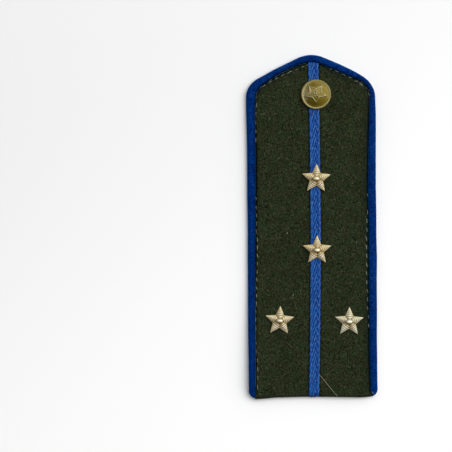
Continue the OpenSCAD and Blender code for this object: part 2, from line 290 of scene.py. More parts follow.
# From the lower right corner round to the lower left one: how far along the outline a row lies, how far
# inside it the piping's outer fold and its lip lie, how far past the lip the thread runs, and how much of
# the stitches shows
SEAM = np.array([
    # Up the right side
    (0, -0.4, 3.15, 0.3, 0.1), (1.5, -0.4, 3.15, 0.3, 0.1), (3, -0.4, 3.2, 0.3, 0.1),
    (5, -0.1, 3.25, 0.3, 0.15), (8, 0, 3.3, 0.3, 0.15), (18, 0, 3.55, 0.3, 0.15),
    (30, 0.05, 3.6, 0.3, 0.1), (39, -0.1, 3.65, 0.3, 0.3), (42, -0.1, 3.65, 0.7, 0.8),
    (47, -0.1, 3.6, 0.75, 0.8), (50, -0.1, 3.6, 0.8, 1), (55, -0.1, 3.6, 1.05, 1),
    (66, -0.3, 3.5, 1.15, 1), (75, -0.1, 3.4, 1.3, 1), (79, -0.1, 3.4, 1.1, 0.8),
    (83, -0.15, 3.45, 0.95, 0.9), (87, -0.15, 3.5, 0.5, 0.35), (91, -0.1, 3.65, 0.4, 0.1),
    (95, -0.1, 3.7, 0.3, 0.4), (98, 0, 3.7, 0.3, 0.1), (110, -0.1, 3.45, 0.3, 0.1),
    (120, -0.2, 3.2, 0.3, 0.1), (132, -0.3, 2.85, 0.4, 0.1),
    # Round the shoulders and the point
    (140, -0.05, 2.45, 0.4, 0.15), (146, 0, 2.15, 0.7, 0.3), (150, -0.3, 1.85, 1.65, 0.95),
    (153.5, -0.75, 1.85, 1.05, 0.9), (157, -0.95, 2.05, 0.55, 0.5), (163, -1, 2.35, 0.3, 0.3),
    (170, -0.7, 2.7, 0.6, 0.3), (176, -0.35, 3.15, 1, 0.6), (182, -0.15, 3.1, 1.55, 1),
    (190, -0.25, 2.65, 1.35, 1), (197, -0.2, 2.9, 0.95, 1), (201, 0.05, 3.45, 0.8, 1),
    (204, 0.2, 3.95, 0.6, 0.7), (208, 0.3, 4.55, 0.4, 0.1), (213, 0.25, 4.85, 0.5, 0.3),
    # Down the left side
    (217, 0.25, 4.7, 0.65, 0.6), (223, 0.3, 4.25, 0.45, 0.7), (227, 0.35, 4.3, 0.35, 0.5),
    (235, 0.5, 4.45, 0.25, 0.4), (239, 0.55, 4.55, 0.2, 0.1), (250, 0.55, 4.5, 0.3, 0.1),
    (262, 0.5, 4.4, 0.3, 0.15), (267, 0.55, 4.35, 0.4, 0.4), (272, 0.6, 4.3, 0.4, 0.7),
    (278, 0.6, 4.2, 0.5, 0.4), (281, 0.55, 4.1, 0.9, 1), (289, 0.5, 3.95, 1.05, 1),
    (300, 0.45, 3.8, 0.75, 1), (311, 0.4, 3.7, 0.65, 0.9), (315, 0.35, 3.7, 0.2, 0.6),
    (323, 0.35, 3.7, 0.2, 0.6), (326, 0.35, 3.7, 0.2, 0.15), (331, 0.4, 3.7, 0.4, 0.2),
    (334, 0.4, 3.7, 0.6, 0.9), (341, 0.45, 3.7, 1, 1), (350, 0.45, 3.6, 0.95, 0.8),
    (353, 0.4, 3.55, 0.9, 0.8), (357, 0, 3.5, 0.9, 0.1),
])
outer_at = eased(SEAM[:, [0, 1]], 1.5)
lip_at = eased(SEAM[:, [0, 2]], 3)
thread_at = eased(SEAM[:, [0, 3]], 1.5)
shown_at = eased(SEAM[:, [0, 4]], 1)

# Painted shade along the outline: how much it darkens the wool beside the raised lip, and the piping's lip
painted_wool_shade = eased([
    (0, 0.2), (15, 0.5), (65, 0.46), (132, 0.4), (146, 0.46), (176, 0.5), (206, 0.55), (220, 0)], 4)
painted_lip_shade = eased([
    (0, 0.25), (60, 0.2), (70, 0.05), (135, 0.1), (150, 0.6), (165, 0.65), (180, 0.65), (198, 0.8),
    (207, 0.85), (222, 0.45), (345, 0.45)], 4)

# Stitches that were counted: where one's middle lies along the outline, and its number from the lower
# right corner
COUNTED = np.array([
    (2.4, 0), (42.4, 10), (94.8, 23), (134, 33), (137.8, 34), (150.1, 37), (153.4, 38), (170, 43),
    (183.1, 47), (203.7, 53), (215.2, 56), (235.3, 61), (266.6, 69), (311.1, 81), (333.2, 87),
    (345.2, 90), (349.6, 91), (353.3, 92)])


def cloth_at(s):
    """How far inside the outline the wool begins: just past the lip, but nearer at the lower right corner,
    where it laps over the end of the piping."""
    return lip_at(s) + 0.15 - 1.4 * ramp(4.4 - s, 0, 2.4) - 0.35 * ramp(s, 350, 353)


def stitch_number(s):
    """Which stitch lies at length s: straight pieces between those counted, whole at a stitch's middle."""
    return np.interp(s, COUNTED[:, 0], COUNTED[:, 1])


def stitch_wave(s):
    """A cosine along the seam: 1 at the middle of each stitch, and -1 half way to the next."""
    return np.cos(2 * np.pi * stitch_number(s))


def pinch(s, d):
    """How hard the thread pulls the cloth down at length s and distance d from the cloth's edge: small
    round dimples where each stitch enters, and a shallow furrow between them."""
    away = STITCH_PITCH * np.abs((stitch_number(s) + 0.5) % 1 - 0.5)
    across = d - thread_at(s) + 0.15
    dimple = bell(np.hypot(away - STITCH_LEN / 2, across), 0.3)
    furrow = bell(across, 0.45) * ramp(STITCH_LEN / 2 + 0.3 - away, 0, 0.5)
    return dimple + 0.4 * furrow


# Surface of the wool

# Middle of the braid along the board
braid_x = eased([
    (-6, 0.45), (0, 0.5), (9, 0.78), (20, 1.07), (36, 1.38), (50, 1.6), (62, 1.8), (78, 1.95), (95, 1.9),
    (125, 1.83), (150, 1.48), (160, 1.4)], 6.0)

# The wool's lower edge against the frame's: a little lower at the left corner, higher beside the braid
hem_shift = eased([
    (-28, -0.25), (-23, -0.2), (-18, 0.08), (-4, 0.16), (5, 0.05), (20, 0.05), (24, -0.05), (27, 0)], 2.0)


def past_braid(x, y):
    """How far outside the nearer side of the braid a place lies: below zero under the braid."""
    return np.abs(x - braid_x(y)) - BRAID_W / 2


def hem(x):
    """Height of the wool's lower edge, pressed in where the braid turns over it."""
    return lower_edge(x) + hem_shift(x) + BRAID_SINK * ramp(0.05 - past_braid(x, 0.0), 0, 0.5)


def cloth_top(x, y):
    """Height of the wool: flat, round towards the seam and over the lower edge, with slow swells, felted
    lumps, the stitches' dimples, and a bed that the braid has pressed."""
    depth, s, _ = seam_place(x, y)
    d = depth - cloth_at(s)
    shape = (0.1 + 0.9 * quarter(d / SEAM_DIP_W)) * quarter((y - hem(x)) / (CLOTH_T / 2))
    swell = 0.05 * lumps(x, y, 17, 3) + 0.035 * lumps(x + y, y - x, 7, 4)
    felt = 0.016 * lumps(x, y, 1.9, 5) + 0.018 * lumps(x - y, x + y, 1.1, 6) + 0.02 * lumps(x, y, 0.6, 7)
    bed = 0.12 * ramp(0.975 - past_braid(x, y), 0, 1)
    return CLOTH_T / 2 * (1 + shape) + (swell + felt - bed) * shape - 0.3 * pinch(s, d) * ramp(d, 0, 0.5)


# Meshes

def quads(rows, cols):
    """Faces of a grid of points stored row by row, each row closed on itself."""
    i = np.arange(rows - 1)[:, None] * cols
    j = np.arange(cols)[None]
    j2 = (j + 1) % cols
    return np.stack([i + j, i + j2, i + cols + j2, i + cols + j], -1).reshape(-1, 4)


def closed_skin(rows, cols):
    """Faces of a closed skin: between closed rows of points, and one over the first and the last row."""
    loop = np.arange(cols)
    return [quads(rows, cols), np.stack([loop[::-1], loop + (rows - 1) * cols])]


def turned_out(points, faces):
    """The faces with their order reversed if they enclose a negative volume."""
    volume = 0
    for group in faces:
        corner = points[group]
        for k in range(1, group.shape[1] - 1):
            volume += np.einsum("ij,ij->", corner[:, 0], np.cross(corner[:, k], corner[:, k + 1]))
    return faces if volume > 0 else [group[:, ::-1] for group in faces]


def warp(x, y):
    """How far the board stands off the floor: its left side bows up towards its lower end, and its lower
    edge does between the braid and the right corner."""
    left = LEFT_LIFT * ramp(-x, 17, 29) * (1 - ramp(y, 8, 58)) * (0.35 + 0.65 * ramp(y, 0, 8))
    right = RIGHT_LIFT * bell(x - 15, 8.5) * (1 - ramp(y, 0, 22))
    return left + right


def smooth_mesh(name, points, faces):
    """A mesh from points and groups of faces with the same number of corners, shaded smooth."""
    corners = np.concatenate([group.ravel() for group in faces])
    sizes = np.concatenate([np.full(len(group), group.shape[1]) for group in faces])
    mesh = bpy.data.meshes.new(name)
    mesh.vertices.add(len(points))
    mesh.vertices.foreach_set("co", points.astype(np.float32).ravel())
    mesh.loops.add(len(corners))
    mesh.loops.foreach_set("vertex_index", corners.astype(np.int32))
    mesh.polygons.add(len(sizes))
    mesh.polygons.foreach_set("loop_start", (np.cumsum(sizes) - sizes).astype(np.int32))
    mesh.update(calc_edges=True)
    mesh.shade_smooth()
    return mesh


def lay_mesh(name, points, faces, material, nodes=(), marks=None, crease=None):
    """A piece from points on the flat board and groups of faces, bowed and put in the frame's place. marks
    are values carried by the points, and crease is the angle in degrees past which an edge stays sharp."""
    placed = np.array(points, float).reshape(-1, 3)
    placed[:, 2] += warp(placed[:, 0], placed[:, 1])
    placed = (placed - [0, HALF_LEN, 0]) * MM
    mesh = smooth_mesh(name, placed, turned_out(placed, faces))
    if crease is not None:
        mesh.set_sharp_from_angle(angle=np.radians(crease))
    for label, values in (marks or {}).items():
        mark = mesh.attributes.new(label, "FLOAT", "POINT")
        mark.data.foreach_set("value", np.asarray(values, np.float32).ravel())
    mesh.materials.append(material)
    piece = bpy.data.objects.new(name, mesh)
    bpy.context.scene.collection.objects.link(piece)
    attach(piece, "root")
    if nodes:
        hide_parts(*nodes)
    return piece


def ring_angles(count):
    """Directions round a tube, from straight down."""
    return np.linspace(0, 2 * np.pi, count, endpoint=False) - np.pi / 2


def tubes(path, wide, high, count, lobes=0, twist=None):
    """Points and faces of closed tubes along paths, given as (tube, station, xyz). The section is an
    ellipse, wide level with the board and high across it, with lobes that turn as twist goes on."""
    tangent = np.gradient(path, axis=1)
    tangent /= np.linalg.norm(tangent, axis=-1, keepdims=True)
    level = np.cross(tangent, [0, 0, 1.0])
    level /= np.linalg.norm(level, axis=-1, keepdims=True) + 1e-9
    up = np.cross(level, tangent)
    angle = ring_angles(count)
    swell = 1 if not lobes else 1 + 0.13 * np.cos(lobes * angle - twist[..., None])
    aside = np.asarray(wide)[..., None] * np.cos(angle) * swell
    above = np.asarray(high)[..., None] * np.sin(angle) * swell
    points = path[:, :, None] + aside[..., None] * level[:, :, None] + above[..., None] * up[:, :, None]
    many, stations = path.shape[:2]
    first = np.arange(many)[:, None, None] * stations * count
    faces = [(group + first).reshape(-1, group.shape[1]) for group in closed_skin(stations, count)]
    return points.reshape(-1, 3), faces


# Materials

def put_node(tree, kind, inputs=None, **settings):
    """A new node in a shader's tree, with its settings, and its inputs linked or filled."""
    node = tree.nodes.new("ShaderNode" + kind)
    for label, value in settings.items():
        setattr(node, label, value)
    for key, value in (inputs or {}).items():
        if isinstance(value, bpy.types.NodeSocket):
            tree.links.new(value, node.inputs[key])
        else:
            node.inputs[key].default_value = value
    return node


class Finish:
    """A material under construction: its shader and short ways to add texture to it. A noise's scale
    counts its lumps in a metre, and colours are linear."""

    def __init__(self, name, **sockets):
        self.material = bpy.data.materials.new(name)
        self.material.use_nodes = True
        self.tree = self.material.node_tree
        self.shader = next(node for node in self.tree.nodes if node.type == "BSDF_PRINCIPLED")
        for label, value in sockets.items():
            self.shader.inputs[label.replace("_", " ")].default_value = value
        self.place = self.put("TexCoord").outputs["Object"]

    def put(self, kind, inputs=None, **settings):
        return put_node(self.tree, kind, inputs, **settings)

    def stretched(self, turn, scale, source=None):
        """Coordinates turned about z and stretched, so that a texture runs in one direction."""
        turned = self.put("Mapping", {0: source or self.place, "Rotation": (0, 0, np.radians(turn))})
        return self.put("Mapping", {0: turned.outputs[0], "Scale": scale}).outputs[0]

    def noise(self, scale, detail=2.0, source=None, rough=0.55):
        return self.put("TexNoise", {"Vector": source or self.place, "Scale": scale, "Detail": detail,
                                     "Roughness": rough}).outputs[0]

    def window(self, value, low, high):
        """The value stretched so that low becomes 0 and high becomes 1."""
        return self.put("MapRange", {0: value, 1: low, 2: high}, interpolation_type="SMOOTHSTEP").outputs[0]

    def math(self, kind, a, b):
        return self.put("Math", {0: a, 1: b}, operation=kind).outputs[0]

    def blend(self, part, a, b, kind="MIX"):
        """One colour over another."""
        full = lambda c: c if isinstance(c, bpy.types.NodeSocket) else (*c, 1)
        sockets = {0: part, 6: full(a), 7: full(b)}
        return self.put("Mix", sockets, data_type="RGBA", blend_type=kind).outputs[2]

    def times(self, colour, factor):
        """A colour with its red, green and blue each multiplied."""
        return self.blend(1.0, colour, factor, "MULTIPLY")

    def mark(self, label):
        """The value that the points of a piece carry under this name."""
        return self.put("Attribute", attribute_name=label).outputs["Fac"]

    def bump(self, height, distance, strength):
        return self.put("Bump", {"Height": height, "Distance": distance, "Strength": strength}).outputs[0]

    def wear(self, label, value):
        """Links a value to the shader."""
        self.tree.links.new(value, self.shader.inputs[label])


def wool_finish():
    """Felted olive wool: mottled in three sizes, with short bent fibres lying in every direction, and
    painted shade, a dark blue-green, along the seam and beside the braid."""
    f = Finish("field_wool", Roughness=0.95, Specular_IOR_Level=0.06)
    drift = f.put("TexNoise", {"Vector": f.place, "Scale": 260.0, "Detail": 2.0}).outputs["Color"]
    shift = f.put("VectorMath", {0: drift, 1: (0.5, 0.5, 0.5)}, operation="SUBTRACT").outputs[0]
    reach = f.put("VectorMath", {0: shift, "Scale": 0.0035}, operation="SCALE").outputs[0]
    bent = f.put("VectorMath", {0: f.place, 1: reach}, operation="ADD").outputs[0]
    fibres = [f.noise(2300, 3.0, f.stretched(turn, (1, 0.36, 1), bent)) for turn in (12, -17, 40, 130)]
    lying = f.math("MAXIMUM", f.math("MAXIMUM", *fibres[:2]), f.math("MAXIMUM", *fibres[2:]))
    pale = f.window(lying, 0.58, 0.80)
    deep = f.window(f.noise(1900, 3.0, f.stretched(0, (1, 0.55, 1), bent)), 0.38, 0.60)
    blot = f.window(f.noise(110, 4.0, rough=0.65), 0.3, 0.7)
    tint = f.window(f.noise(340, 3.0), 0.38, 0.62)
    ground = f.blend(tint, (0.0252, 0.0296, 0.0108), (0.0186, 0.0320, 0.0108))
    ground = f.blend(blot, f.times(ground, (0.72, 0.72, 0.72)), ground)
    ground = f.blend(deep, f.times(ground, (0.21, 0.23, 0.19)), ground)
    ground = f.blend(pale, ground, (0.080, 0.092, 0.059))
    # Painted shade: where the hollow mark is high the wool goes to a near black blue-green
    f.wear("Base Color", f.blend(f.mark("hollow"), ground, (0.0011, 0.0042, 0.0046)))
    height = f.math("ADD", f.math("MULTIPLY", pale, 0.7), f.math("MULTIPLY", deep, 0.5))
    f.wear("Normal", f.bump(height, 0.00012, 0.8))
    return f.material


def nap_finish():
    """Loose surface fibres, each a little lighter or browner than the next."""
    f = Finish("wool_fibres", Roughness=0.8, Specular_IOR_Level=0.15)
    f.wear("Base Color", f.blend(f.mark("shade"), (0.018, 0.024, 0.010), (0.070, 0.078, 0.044)))
    return f.material


def piping_finish():
    """Deep blue cloth, felted over a fine twill: a mottle about as fine as its threads, slow clouds and a
    few pale flecks. Painted shade darkens the lip, and there the cloth's blue sheen is taken away."""
    f = Finish("piping_cloth", Roughness=0.9, Specular_IOR_Level=0.0, Sheen_Roughness=0.3,
               Sheen_Tint=(0.0, 0.47, 0.95, 1))
    line = f.math("MULTIPLY", f.math("ADD", f.mark("along"), f.mark("across")), 2 * np.pi * 1500)
    rib = f.put("Math", {0: line}, operation="SINE").outputs[0]
    grain = f.noise(1700, 3.0, f.stretched(0, (0.7, 1, 1)), 0.6)
    cloud = f.window(f.noise(190, 4.0, rough=0.6), 0.3, 0.7)
    ground = f.blend(cloud, (0.0003, 0.0144, 0.107), (0.0006, 0.0198, 0.134))
    lit = f.window(f.math("ADD", f.math("MULTIPLY", rib, 0.07), grain), 0.34, 0.66)
    cloth = f.blend(lit, f.times(ground, (0.2, 0.30, 0.50)), f.times(ground, (2.4, 1.85, 1.4)))
    fleck = f.math("MULTIPLY", f.window(f.noise(1700, 3.0), 0.56, 0.72), 0.03)
    cloth = f.blend(fleck, cloth, (0.6, 0.6, 0.7))
    # Painted shade on the lip, from the hollow mark
    lip_painted_shade = f.mark("hollow")
    f.wear("Base Color", f.blend(lip_painted_shade, cloth, (0.0006, 0.0024, 0.0034)))
    f.wear("Sheen Weight", f.math("MULTIPLY", f.math("SUBTRACT", 1.0, lip_painted_shade), 0.75))
    f.wear("Normal", f.bump(f.math("ADD", f.math("MULTIPLY", rib, 0.2), grain), 0.00015, 0.8))
    return f.material


def braid_finish():
    """Smooth blue thread, with painted shade down between the strands, painted light on top and painted
    highlights as pale flecks, each cord a little different.
    """
    f = Finish("braid_thread", Roughness=0.5, Specular_IOR_Level=0.14)
    # Painted shade and light by the height mark: dark where a thread lies low, pale where it lies high
    lightness = f.window(f.mark("height"), 0.32, 0.98)
    thread = f.noise(1900, 3.0, f.stretched(0, (1, 0.4, 1)))
    low = f.blend(f.mark("shade"), (0.0004, 0.012, 0.105), (0.0008, 0.020, 0.145))
    high = f.blend(f.mark("shade"), (0.002, 0.060, 0.268), (0.011, 0.114, 0.398))
    ground = f.blend(lightness, low, high)
    ground = f.blend(f.window(thread, 0.36, 0.56), f.times(ground, (0.5, 0.68, 0.8)), ground)
    # Painted highlights: pale flecks on the raised threads
    lit = f.math("MULTIPLY", f.window(thread, 0.54, 0.74), lightness)
    f.wear("Base Color", f.blend(lit, ground, (0.100, 0.178, 0.400)))
    f.wear("Normal", f.bump(thread, 0.00006, 0.6))
    return f.material


def thread_finish():
    """Pale grey-olive sewing thread."""
    f = Finish("sewing_thread", Roughness=0.7, Specular_IOR_Level=0.2)
    fibre = f.window(f.noise(900), 0.35, 0.65)
    f.wear("Base Color", f.blend(fibre, (0.09, 0.10, 0.078), (0.21, 0.23, 0.185)))
    return f.material


def stray_finish():
    """A hair and pale lint, unevenly coloured."""
    f = Finish("stray_thread", Roughness=0.7, Specular_IOR_Level=0.3)
    f.wear("Base Color", f.blend(f.noise(700), (0.20, 0.20, 0.12), (0.40, 0.40, 0.28)))
    return f.material


def star_finish():
    """Pale gilt on stamped metal: warm and dull down in the grooves, whiter where rubbed and at the painted
    highlights.
    """
    f = Finish("star_metal", Metallic=1.0, Roughness=0.56)
    lightness = f.math("ADD", f.mark("wear_and_painted_light"), f.math("MULTIPLY", f.noise(420, 3.0), 0.35))
    bright = f.blend(f.mark("tarnish"), (0.46, 0.38, 0.215), (0.46, 0.43, 0.30))
    gilt = f.blend(f.window(lightness, 0.15, 0.7), (0.30, 0.20, 0.055), bright)
    # Painted highlights: where the mark is highest the gilt turns near white
    f.wear("Base Color", f.blend(f.window(lightness, 0.8, 1.3), gilt, (0.80, 0.78, 0.72)))
    f.wear("Normal", f.bump(f.noise(1900), 0.00006, 0.7))
    return f.material


def button_finish():
    """Dull yellow brass, olive in the recesses and lighter on the rim and the relief, by wear and by
    painted light.
    """
    f = Finish("button_brass", Metallic=1.0, Roughness=0.5)
    cloud = f.noise(500, 4.0, rough=0.65)
    lightness = f.window(f.math("ADD", f.mark("wear_and_painted_light"), f.math("MULTIPLY", cloud, 0.4)), 0.15, 1.2)
    # The mark's painted light: reflections lighter at both sides, shade below the star, highlights on the
    # relief
    f.wear("Base Color", f.blend(lightness, (0.096, 0.071, 0.005), (0.262, 0.222, 0.102)))
    f.wear("Normal", f.bump(f.noise(1800, 3.0), 0.00003, 0.5))
    return f.material


# Wool

DIP_STEPS = 1 - np.cos(np.linspace(0, np.pi / 2, DIP_POINTS))


def wool_columns():
    """Places across the board: even over the face, and closer and closer in the dip at each side."""
    dip = CLOTH_INSET + SEAM_DIP_W * DIP_STEPS - HALF_W
    return np.concatenate([dip[:-1], np.linspace(dip[-1], -dip[-1], FACE_COLUMNS), -dip[:-1][::-1]])


def wool_end(x):
    """Height of the wool's upper end beside plain piping: an arc at the tip, a straight slope on each side
    of it, and an arc at each shoulder."""
    tip_r, shoulder_r = APEX_R - CLOTH_INSET, SHOULDER_R - CLOTH_INSET
    off = np.abs(x)
    past = np.maximum(off - HALF_W + SHOULDER_R, 0)
    tip = BOARD_LEN - APEX_R + np.sqrt(np.maximum(tip_r ** 2 - off ** 2, 0))
    slope = SHARP_Y - CLOTH_INSET / np.cos(SLOPE) - np.tan(SLOPE) * off
    shoulder = SHOULDER_Y + np.sqrt(np.maximum(shoulder_r ** 2 - past ** 2, 0))
    end = np.where(off < tip_r * np.sin(SLOPE), tip, slope)
    return np.where(off > HALF_W - SHOULDER_R + shoulder_r * np.sin(SLOPE), shoulder, end)


def wool_upper(x):
    """Points of the wool down from the point and round the lower edge, a quarter circle. Near the seam they
    are drawn in or out to where the cloth begins."""
    edge = hem(x)
    half = CLOTH_T / 2
    end = wool_end(x)
    rows = np.concatenate([TIP_DIP * DIP_STEPS[:-1], np.linspace(TIP_DIP, 1, FACE_ROWS)])
    face = end - (end - edge - half) * rows
    turn = np.linspace(0, np.pi / 2, EDGE_POINTS + 1)[1:]
    y = np.concatenate([face, edge + half * (1 - np.sin(turn))], 1)
    x = np.broadcast_to(x, y.shape)
    depth, s, out = seam_place(x, y)
    pull = (cloth_at(s) - CLOTH_INSET) * (1 - ramp(depth - CLOTH_INSET, 0, 6))
    x, y = x - out[..., 0] * pull, y - out[..., 1] * pull
    z = cloth_top(x, y)
    z[:, -1] = half
    return np.stack([x, y, z], -1)


def wool_under(upper):
    """Points of the underside, each below one of the upper points, from the lower edge back to the point:
    level with the back, and rounded up to the seam and to the lower edge."""
    last = DIP_POINTS + FACE_ROWS - 2
    face = np.arange(last, DIP_POINTS - 2, -UNDER_STEP)
    under = upper[:, np.concatenate([[last + 5, last + 2], face, [6, 4, 2, 0]])]
    x, y = under[..., 0], under[..., 1]
    depth, s, _ = seam_place(x, y)
    side = 0.1 + 0.9 * quarter((depth - cloth_at(s)) / 0.5)
    under[..., 2] = CLOTH_T / 2 * (1 - side * quarter((y - hem(x)) / (CLOTH_T / 2)))
    return under


def wool_painted_shade(x, y):
    """How much painted shade darkens the wool, up to 1: a narrow band along the seam, weaker where a stitch
    holds it, a wider and softer band where the raised lip shades the wool, and a line on each side of the
    braid."""
    depth, s, _ = seam_place(x, y)
    inward = depth - cloth_at(s)
    shade = painted_wool_shade(s)
    held = 0.5 * shown_at(s) * (1 + stitch_wave(s))
    band = (0.68 + 0.32 * np.minimum(shade / 0.3, 1)) * (1 - 0.7 * held)
    band = band * bell(inward, 0.72 - 0.3 * held, 4)
    band = 1 - (1 - band) * (1 - shade * bell(inward, 2.2))
    return np.minimum(band + 0.5 * bell(past_braid(x, y), 0.45), 1)


def wool_field():
    """The wool, as one closed skin: at each place across the board a loop of points goes down the face from
    the point to the lower edge, round it, and back along the underside."""
    upper = wool_upper(wool_columns()[:, None])
    grid = np.concatenate([upper, wool_under(upper)], 1)
    # The hollow mark carries the painted shade along the seam and beside the braid
    marks = {"hollow": wool_painted_shade(grid[..., 0], grid[..., 1])}
    faces = closed_skin(*grid.shape[:2])
    return lay_mesh("wool_field", grid, faces, wool_finish(), ["cloth_field"], marks)


def nap_roots(rng):
    """Where the loose fibres start: random places, clear of the seam, the braid and the lower edge."""
    x = rng.uniform(-27, 27.5, 2 * NAP_FIBRES)
    y = rng.uniform(0.4, 156, 2 * NAP_FIBRES)
    depth, s, _ = seam_place(x, y)
    clear = (depth > cloth_at(s) + 0.4) & (past_braid(x, y) > 0.5) & (y - lower_edge(x) > 0.3)
    return x[clear][:NAP_FIBRES, None], y[clear][:NAP_FIBRES, None]


def wool_nap(sides=3):
    """Loose fibres on the wool: thin bowed tubes that start in the cloth, rise a little and lie down. Each
    goes on in equal steps whose direction turns evenly."""
    rng = np.random.default_rng(21)
    x, y = nap_roots(rng)
    one_each = x.shape
    t = np.linspace(0, 1, 5)
    turn = rng.normal(-np.pi / 2, 0.8, one_each)
    way = turn + rng.normal(0, 0.8, one_each) * (t - 0.5)
    step = rng.uniform(0.6, 1.5, one_each) / 4
    x = x + np.cumsum(np.cos(way) * step, 1) - np.cos(way) * step
    y = y + np.cumsum(np.sin(way) * step, 1) - np.sin(way) * step
    rise = rng.uniform(0.02, 0.16, one_each) * np.sin(np.pi * np.minimum(t * 1.15, 1)) - 0.03 * (1 - t)
    y = y + np.maximum(0.1 - np.min(y - hem(x), 1, keepdims=True), 0)
    size = rng.uniform(0.014, 0.026, one_each) * (1 - 0.6 * t)
    points, faces = tubes(np.stack([x, y, cloth_top(x, y) + rise], -1), size, size, sides)
    marks = {"shade": np.repeat(rng.beta(1.3, 2.6, len(x)), len(t) * sides)}
    return lay_mesh("wool_nap", points, faces, nap_finish(), marks=marks)


# Piping

def piping_section():
    """Section of the piping as part of its width, and height: a half circle for the outer fold, a flat top,
    a quarter ellipse over the lip and one under it, and a flat back."""
    r = BOARD_T / 2
    fold = np.linspace(-np.pi / 2, -3 * np.pi / 2, 15)
    lip = np.linspace(0, np.pi / 2, 7)
    outer = np.stack([r + r * np.cos(fold), r + r * np.sin(fold)], 1)
    top = np.stack([np.linspace(1.85, 2.55, 4), np.full(4, BOARD_T)], 1)
    upper = [PIPING_W, BOARD_T] + np.stack([np.sin(lip) - 1, np.cos(lip) - 1], 1) * LIP_TOP
    lower = [PIPING_W, 0] + np.stack([np.cos(lip) - 1, 1 - np.sin(lip)], 1) * LIP_FOOT
    back = np.stack([np.linspace(2.6, 1.9, 3), np.zeros(3)], 1)
    section = np.concatenate([outer, top, upper, lower, back])
    return section[:, 0] / PIPING_W, section[:, 1]


def piping_cloth():
    """The piping: its section carried along the outline, as wide as from the outer fold to the lip. Its lip
    dips at every stitch, and its face has slow ripples."""
    part, height = piping_section()
    s = np.linspace(PIPING_START, ALONG[-1], 850)[:, None]
    outer, lip = outer_at(s), lip_at(s)
    inset = outer + (lip - outer) * part
    place = on_edge(np.broadcast_to(s, inset.shape), inset)
    near_lip = ramp(part, 0.55, 0.95) * (height > BOARD_T / 2)
    ripple = 0.05 * lumps(s, part * 3, 5, 12) + 0.03 * lumps(s + 40, part * 6, 1.7, 13)
    z = height - 0.10 * near_lip * (1 + stitch_wave(s)) + ripple * ramp(height, 1.2, 3.0)
    grid = np.concatenate([place, z[..., None]], -1)
    around = np.concatenate([[0], np.cumsum(np.hypot(np.diff(part) * PIPING_W, np.diff(height)))])
    # hollow: painted shade on the piping, strongest at the lip
    marks = {"along": np.broadcast_to(s * MM, z.shape), "across": np.broadcast_to(around * MM, z.shape),
             "hollow": painted_lip_shade(s) * bell(lip - inset, 0.95)}
    faces = closed_skin(*z.shape)
    return lay_mesh("piping_cloth", grid, faces, piping_finish(), ["piping"], marks)


# Braid

def braid_path(along, off, high):
    """Points on the braid at a length from the middle of the cloth's lower edge, off its middle and above
    its underside: straight up to there, a quarter turn round the edge, then along the face, sinking into
    the seam at the point."""
    r = CLOTH_T / 2 + 0.1
    middle_r = r + BRAID_T / 2
    bend = np.clip(along / middle_r, 0, np.pi / 2)
    run = np.maximum(along - middle_r * np.pi / 2, 0)
    y = hem(braid_x(0.0)) + CLOTH_T / 2 - (r + high) * np.cos(bend) + run
    x = braid_x(y) + off
    depth, s, _ = seam_place(x, y)
    sink = 1.3 * (1 - quarter((depth - cloth_at(s)) / 1.2)) * (y > POINT_FROM)
    z = CLOTH_T / 2 + np.minimum(along, 0) + (r + high) * np.sin(bend) - sink
    return np.stack([x, y, z], -1)


def strand_swing(turn):
    """Where in its swing a strand is, from -1 at the left side to 1 at the right one, and how far it lies
    over the others: on top while it leans to the right, except in a band right of the middle, where the
    strands that lean to the left are on top."""
    swing = np.arcsin(SWING_BOW * np.sin(turn)) / np.arcsin(SWING_BOW)
    band = ramp(swing, 0.14, 0.3) * (1 - ramp(swing, 0.6, 0.76))
    return swing, np.tanh(4 * np.cos(turn)) * (1 - 1.5 * band)


def braid_strands():
    """A flat plait of plied cords, each swinging from side to side, that follow each other by an equal
    share of the full swing."""
    along = np.linspace(-1.2, 157.3, 424)
    strand = np.arange(STRANDS)[:, None]
    swing, lift = strand_swing(2 * np.pi * (along / (CROSSING * STRANDS) + strand / STRANDS))
    middle = (BRAID_W / 2 - STRAND_W) * swing
    high = BRAID_T / 2 + 0.18 * lift
    twist = 2 * np.pi * (along / PLY_LEN + strand / 4)
    path = braid_path(np.broadcast_to(along, swing.shape), middle, high)
    points, faces = tubes(path, STRAND_W, STRAND_T, STRAND_SIDES, PLIES, twist)
    angle = ring_angles(STRAND_SIDES)
    ply = np.cos(PLIES * angle - twist[..., None])
    off = middle[..., None] + STRAND_W * np.cos(angle)
    # The height mark: each thread's height, for painted shade low down and painted light on top, with
    # painted shade in two furrows and where the braid turns over the edge
    level = (high[..., None] + STRAND_T * np.sin(angle)) / BRAID_T + 0.12 * ply
    level = level - 0.2 * bell(np.abs(off) - 0.87, 0.3) - 0.3 * ramp(2.2 - along, 0, 1.6)[:, None]
    shade = 0.5 + 0.7 * lumps(along, 9.0 * strand, 1.1, 9)[..., None] + 0.4 * ply
    marks = {"height": level, "shade": shade}
    return lay_mesh("braid_strands", points, faces, braid_finish(), ["centre_braid"], marks)


# Stitches and lint

def stitch_middles():
    """Where the stitches that show have their middles along the outline, and the second one beside the
    longest."""
    middle = np.interp(np.arange(COUNTED[-1, 1]), COUNTED[:, 1], COUNTED[:, 0])
    return np.append(middle[shown_at(middle) > 0.18], SECOND_STITCH)[:, None]


def corner_stitches(t, bow):
    """The slanting stitch at each lower corner: straight from end to end and bowed up."""
    start, end = CORNER_STITCHES[:, :1], CORNER_STITCHES[:, 1:]
    place = start + (end - start) * ((t + 1) / 2)[:, None]
    z = cloth_top(place[..., 0], place[..., 1]) - 0.3
    z[1] = 2.95
    return np.concatenate([place, (z + 0.3 * bow)[..., None]], -1)


